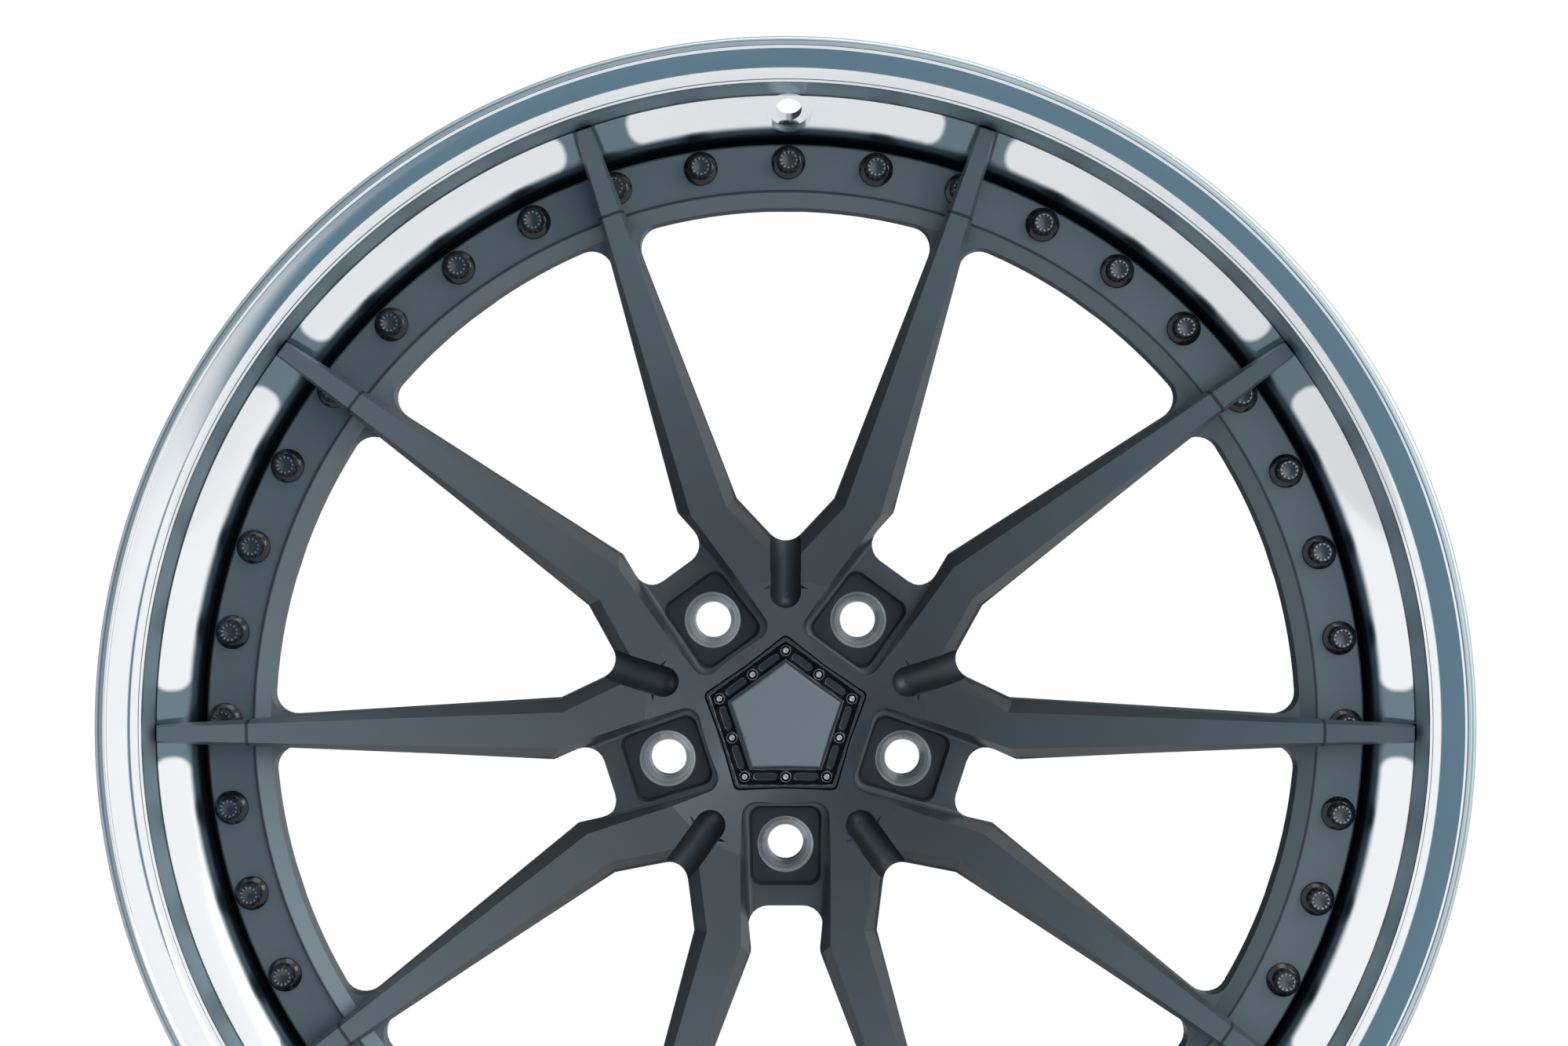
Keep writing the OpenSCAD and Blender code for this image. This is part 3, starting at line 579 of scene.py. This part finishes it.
def repeat_round(piece, count, radius, turn, material):
    """Repeats a piece round the axle, each copy turned outwards."""
    def build(add, given):
        index = add("GeometryNodeInputIndex")[0]
        share = add("ShaderNodeMath", {"operation": "DIVIDE"}, {0: index, 1: given["Count"]})[0]
        angle = add("ShaderNodeMath", {"operation": "MULTIPLY_ADD"},
                    {0: share, 1: 2 * math.pi, 2: given["Turn"]})[0]
        sine = add("ShaderNodeMath", {"operation": "SINE"}, {0: angle})[0]
        cosine = add("ShaderNodeMath", {"operation": "COSINE"}, {0: angle})[0]
        x = add("ShaderNodeMath", {"operation": "MULTIPLY"}, {0: sine, 1: given["Radius"]})[0]
        z = add("ShaderNodeMath", {"operation": "MULTIPLY"}, {0: cosine, 1: given["Radius"]})[0]
        place = add("ShaderNodeCombineXYZ", {}, {0: x, 2: z})[0]
        facing = add("ShaderNodeCombineXYZ", {}, {1: angle})[0]
        points = add("GeometryNodePoints", {}, {"Count": given["Count"], "Position": place})[0]
        return add("GeometryNodeInstanceOnPoints", {},
                   {"Points": points, "Instance": given["Shape"], "Rotation": facing})[0]

    by_nodes(piece, "round", {"Count": ("Int", count), "Radius": ("Float", radius), "Turn": ("Float", turn),
                              "Finish": ("Material", material)}, build)


def bolt_black():
    """Black oxide, with a greyer crown and a painted highlight at each point of the star."""
    made = finish("bolt_black")
    point = made.point()
    x, y, z = made.axes(point)
    cloud = made.noise(point, 700.0)
    crown = 1 - y.ramp(*Y_CROWN)
    turn = 2 * math.pi / BOLTS
    off = ((x.math("ARCTAN2", z) - BOLT_TURN) * (1 / turn) + 0.5).math("FRACT") * turn - turn / 2
    radius = (x * x + z * z).math("SQRT")
    across = radius * off.math("SINE")
    along = radius * off.math("COSINE") - BOLT_CIRCLE_R
    from_bolt = (across * across + along * along).math("SQRT")
    # A bright mark at each point of the star is a painted highlight.
    around = across.math("ARCTAN2", along).math("PINGPONG", math.pi / STAR_POINTS)
    painted_glint = (1 - around.ramp(*GLINT_WIDE)) * from_bolt.ramp(*GLINT_INSIDE)
    painted_glint = painted_glint * (1 - from_bolt.ramp(*GLINT_OUTSIDE))
    grey = made.blend(painted_glint, (0.100, 0.111, 0.120, 1), (0.60, 0.64, 0.66, 1))
    colour = made.blend(crown, (0.003, 0.004, 0.005, 1), grey)
    roughness = 0.12 + 0.08 * cloud + 0.15 * crown
    return made.surface(base_color=colour, metallic=crown, roughness=roughness)


def zinc():
    made = finish("zinc_plate")
    cloud = made.noise(made.point(), 260.0)
    colour = made.blend(cloud, (0.46, 0.46, 0.43, 1), (0.60, 0.60, 0.58, 1))
    return made.surface(base_color=colour, metallic=1.0, roughness=0.30 + 0.2 * cloud)


shank = [(0.0001, BOLT_END), (0.0036, BOLT_END), (0.0040, BOLT_END + 0.0004), (0.0040, BOLT_FACE)]
washer_face = [(0.0073, BOLT_FACE), (0.0075, BOLT_FACE + 0.0002), (0.0075, BOLT_FACE + 0.0008),
               (0.0072, BOLT_FACE + 0.0013), (0.0057, BOLT_FACE + 0.0024), (0.0054, BOLT_FACE + 0.0026)]
dish = [(0.0034, HEAD_TOP), (0.0031, HEAD_TOP - 0.0006), (0.0014, HEAD_TOP - 0.0009),
        (0.0001, HEAD_TOP - 0.0009)]
bolt = stacked("assembly_bolts_round",
               [round_ring(r, z, BOLT_SIDES) for r, z in shank + washer_face]
               + [star_ring(HEAD_FLAT_R, BOLT_FACE + 0.0027),
                  star_ring(HEAD_FLAT_R, HEAD_TOP - 0.0012),
                  star_ring(HEAD_FLAT_R - 0.0008, HEAD_TOP, 0.0042)]
               + [round_ring(r, z, BOLT_SIDES) for r, z in dish])
smooth(bolt, 30)
repeat_round(bolt, BOLTS, BOLT_CIRCLE_R, BOLT_TURN, bolt_black())
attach(bolt, "root")
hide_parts("assembly_bolts")

plated = zinc()
wear(cad["assembly_nuts"], plated)
wear(cad["nut_washers"], plated)


# Centre cap
# A moulded base with its seal and spring ring, a black anodised frame, a grey plate and ten
# small bright screws.

CAP_SIDE = 0.031
CAP_BACK = 0.060
CAP_TOP = 0.0644
PLATE_SIDE = 0.02135
CORNERS = 5
SCREWS = 10
SCREW_ROW = 0.0255
SCREW_HOLE_R = 0.00105
FRAME_STEPS = 720
FRAME_ROWS = 40
RIM_INSIDE = (0.0224, 0.0228)
RIM_OUTSIDE = (0.0288, 0.0292)
FLOOR_DEEP = 0.0009
SLOT_HALF = 0.0038
SLOT_EDGE = (0.0016, 0.0023)
SLOT_DEEP = 0.0013
BOSS_EDGE = (0.0025, 0.0030)
SCREW_SINK = (0.0017, 0.0020)
SCREW_DEEP = 0.0016
Y_RIM = (0.0001 - CAP_TOP, 0.0004 - CAP_TOP)
Y_SLOT_TOP = (0.0017 - CAP_TOP, 0.0020 - CAP_TOP)
Y_SLOT_FLOOR = (0.0026 - CAP_TOP, 0.0030 - CAP_TOP)


def anodised(name, colour, roughness, metallic=0.5):
    made = finish(name)
    grain = made.noise(made.point(), 2400.0)
    return made.surface(base_color=(*colour, 1), metallic=metallic, roughness=roughness + 0.08 * grain,
                        normal=made.bump(grain, 0.00001, made.rounded(0.0004)))


def frame_black():
    """Black anodised, with the frame's rims and the floors of its slots painted lighter as highlights, and
    the floor between them painted darker as shade.
    """
    made = finish("cap_black")
    point = made.point()
    x, y, z = made.axes(point)
    grain = made.noise(point, 2400.0)
    # The rims and slot floors are painted lighter as highlights, and the floor between them darker as
    # painted shade.
    rim = 1 - y.ramp(*Y_RIM)
    slot = y.ramp(*Y_SLOT_TOP) * (1 - y.ramp(*Y_SLOT_FLOOR))
    low = made.blend(slot, (0.014, 0.015, 0.017, 1), (0.085, 0.092, 0.100, 1))
    colour = made.blend(rim, low, (0.120, 0.132, 0.143, 1))
    return made.surface(base_color=colour, metallic=1.0, roughness=0.18 + 0.08 * grain,
                        normal=made.bump(grain, 0.00001, made.rounded(0.0003)))


def pentagon(side, dip, round_r, angle):
    """Radius of the cap's outline at an angle in radians from a corner."""
    half = math.pi / CORNERS
    off = abs((angle + half) % (2 * half) - half)
    across = half - off
    flat = (side - dip * (1 - abs(math.tan(across) / math.tan(half)))) / math.cos(across)
    middle = (side - round_r) / math.cos(half)
    inside = round_r ** 2 - (middle * math.sin(off)) ** 2
    tip = middle * math.cos(off) + math.sqrt(inside) if inside > 0 else flat
    return min(flat, tip)


def step(value, low, high):
    """0 at low, 1 at high, and smooth between them."""
    t = min(1.0, max(0.0, (value - low) / (high - low)))
    return t * t * (3 - 2 * t)


def frame_height(x, z):
    """Height of the frame's face: rims, a lower floor, slots, and bosses round the screws."""
    half = math.pi / CORNERS
    angle = math.atan2(x, z) % (2 * half) - half
    radius = math.hypot(x, z)
    along = radius * math.sin(angle)
    out = radius * math.cos(angle)
    reach = SCREW_ROW * math.tan(half)
    slot = math.hypot(max(0.0, abs(abs(along) - reach / 2) - SLOT_HALF), out - SCREW_ROW)
    boss = min(math.hypot(along, out - SCREW_ROW), math.hypot(abs(along) - reach, out - SCREW_ROW))
    floor = step(out, *RIM_INSIDE) * (1 - step(out, *RIM_OUTSIDE)) * step(boss, *BOSS_EDGE)
    deep = 1 - step(slot, *SLOT_EDGE)
    sunk = 1 - step(boss, *SCREW_SINK)
    return CAP_TOP - FLOOR_DEEP * floor - SLOT_DEEP * deep - SCREW_DEEP * sunk


outline = []
for i in range(FRAME_STEPS):
    a = 2 * math.pi * i / FRAME_STEPS
    outline.append((math.sin(a), math.cos(a), pentagon(PLATE_SIDE, 0.0003, 0.0004, a),
                    pentagon(CAP_SIDE, 0.0008, 0.003, a)))
rings = [[(s * r0, -CAP_BACK, c * r0) for s, c, r0, r1 in outline]]
for row in range(FRAME_ROWS + 1):
    share = row / FRAME_ROWS
    ring = []
    for s, c, r0, r1 in outline:
        r = r0 + 0.0001 + (r1 - r0 - 0.0003) * share
        ring.append((s * r, -frame_height(s * r, c * r), c * r))
    rings.append(ring)
rings.append([(s * r1, -CAP_TOP + 0.0003, c * r1) for s, c, r0, r1 in outline])
rings.append([(s * r1, -CAP_BACK, c * r1) for s, c, r0, r1 in outline])
cap_frame = stacked("cap_frame_milled", rings)
screw_places = []
for i in range(SCREWS):
    a = 2 * math.pi * i / SCREWS
    r = SCREW_ROW / math.cos(math.pi / CORNERS) if i % 2 == 0 else SCREW_ROW
    screw_places.append((r * math.sin(a), 0.0, r * math.cos(a)))
drill(cap_frame, [(place, (0, -1, 0), SCREW_HOLE_R, CAP_BACK - 0.001, CAP_TOP, 24)
                  for place in screw_places])
smooth(cap_frame, 50)
wear(cap_frame, frame_black())
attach(cap_frame, "root")
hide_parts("cap_frame")

wear(cad["cap_plate"], anodised("cap_grey", (0.150, 0.185, 0.215), 0.36, 0.3))
wear(cad["cap_base"], anodised("cap_moulding", (0.02, 0.02, 0.022), 0.5))
wear(cad["cap_o_ring"], sealant_black())
wear(cad["cap_wire_ring"], plated)
bright = anodised("screw_bright", (0.72, 0.73, 0.74), 0.18, 1.0)
for number in range(1, SCREWS + 1):
    wear(cad[f"cap_screw_{number}"], bright)


# Studio
# A white room with a slate wall behind the camera, a tall white panel in it to the right, a dark
# side behind the wheel for reflections alone, a lamp above, one on the right, and a pale floor.

FOCAL_PX = 3566
PHOTO_W = 1999
PHOTO_H = 1333
CAMERA = (-0.0007, -1.327, 0.0623)
VANISH_Y = 742
FLOOR_R = 0.8
FLOOR_SIDES = 96
WHITE = (1, 1, 1, 1)
SLATE = (0.125, 0.21, 0.275, 1)
DUSK = (0.04, 0.05, 0.06, 1)

camera = bpy.data.objects.new("camera", bpy.data.cameras.new("camera"))
bpy.context.scene.collection.objects.link(camera)
camera.location = CAMERA
camera.rotation_euler = (math.pi / 2, 0, 0)
camera.data.sensor_width = 36
camera.data.lens = 36 * FOCAL_PX / PHOTO_W
camera.data.shift_y = (VANISH_Y - PHOTO_H / 2) / PHOTO_W
bpy.context.scene.camera = camera
bpy.context.scene.view_settings.view_transform = "Standard"


def room():
    """The world: white to the camera, with panels for reflections and a softer light for the rest."""
    world = bpy.data.worlds.new("room")
    bpy.context.scene.world = world
    made = Finish(world)
    x, y, z = made.axes(made.add("ShaderNodeTexCoord", out="Generated"))
    front = -1.0 * y
    panel = x.ramp(0.06, 0.13) * (1 - x.ramp(0.62, 0.70)) * (z + 0.45 * x).ramp(-0.20, 0.0)
    back = made.blend(y.ramp(0.1, 0.3) * (1 - 0.75 * x.ramp(0.05, 0.35)), WHITE, DUSK)
    colour = made.blend(front.ramp(0.52, 0.64) * (1 - panel), back, SLATE)
    seen = made.add("ShaderNodeLightPath", out="Is Camera Ray")
    mirrored = made.add("ShaderNodeLightPath", out="Is Glossy Ray")
    sharp = seen.math("MAXIMUM", mirrored)
    lit = made.blend(sharp, WHITE, colour)
    white = made.blend(seen, lit, WHITE)
    soft = 0.03 + 1.9 * (0.42 * x + 0.86 * front + 0.28 * z).ramp(0.55, 1.0) + 0.2 * z.ramp(0.3, 0.9)
    strength = sharp + (1 - sharp) * soft
    made.end("ShaderNodeOutputWorld",
             made.add("ShaderNodeBackground", {}, {"Color": white, "Strength": strength}))


room()


def lamp(name, place, size, watts):
    """A square lamp that faces the wheel's middle."""
    light = bpy.data.lights.new(name, "AREA")
    light.size = size
    light.energy = watts
    body = bpy.data.objects.new(name, light)
    bpy.context.scene.collection.objects.link(body)
    body.location = place
    way = -np.array(place) / np.linalg.norm(place)
    body.rotation_euler = (math.acos(-way[2]), 0, math.atan2(-way[0], way[1]))


lamp("top_lamp", (0.2, -0.7, 1.7), 1.0, 6)
lamp("right_lamp", (1.3, -1.2, 0.7), 0.7, 7)


def floor_white():
    made = finish("floor_white")
    return made.surface(base_color=(0.9, 0.9, 0.9, 1), roughness=0.7,
                        emission_color=(1, 1, 1, 1), emission_strength=0.25)


floor_turns = [2 * math.pi * i / FLOOR_SIDES for i in range(FLOOR_SIDES)]
floor_points = [(FLOOR_R * math.cos(a), FLOOR_R * math.sin(a), cad_box[0][2]) for a in floor_turns]
floor_mesh = bpy.data.meshes.new("floor")
floor_mesh.from_pydata(floor_points, [], [list(range(FLOOR_SIDES))])
floor = bpy.data.objects.new("floor", floor_mesh)
bpy.context.scene.collection.objects.link(floor)
wear(floor, floor_white())
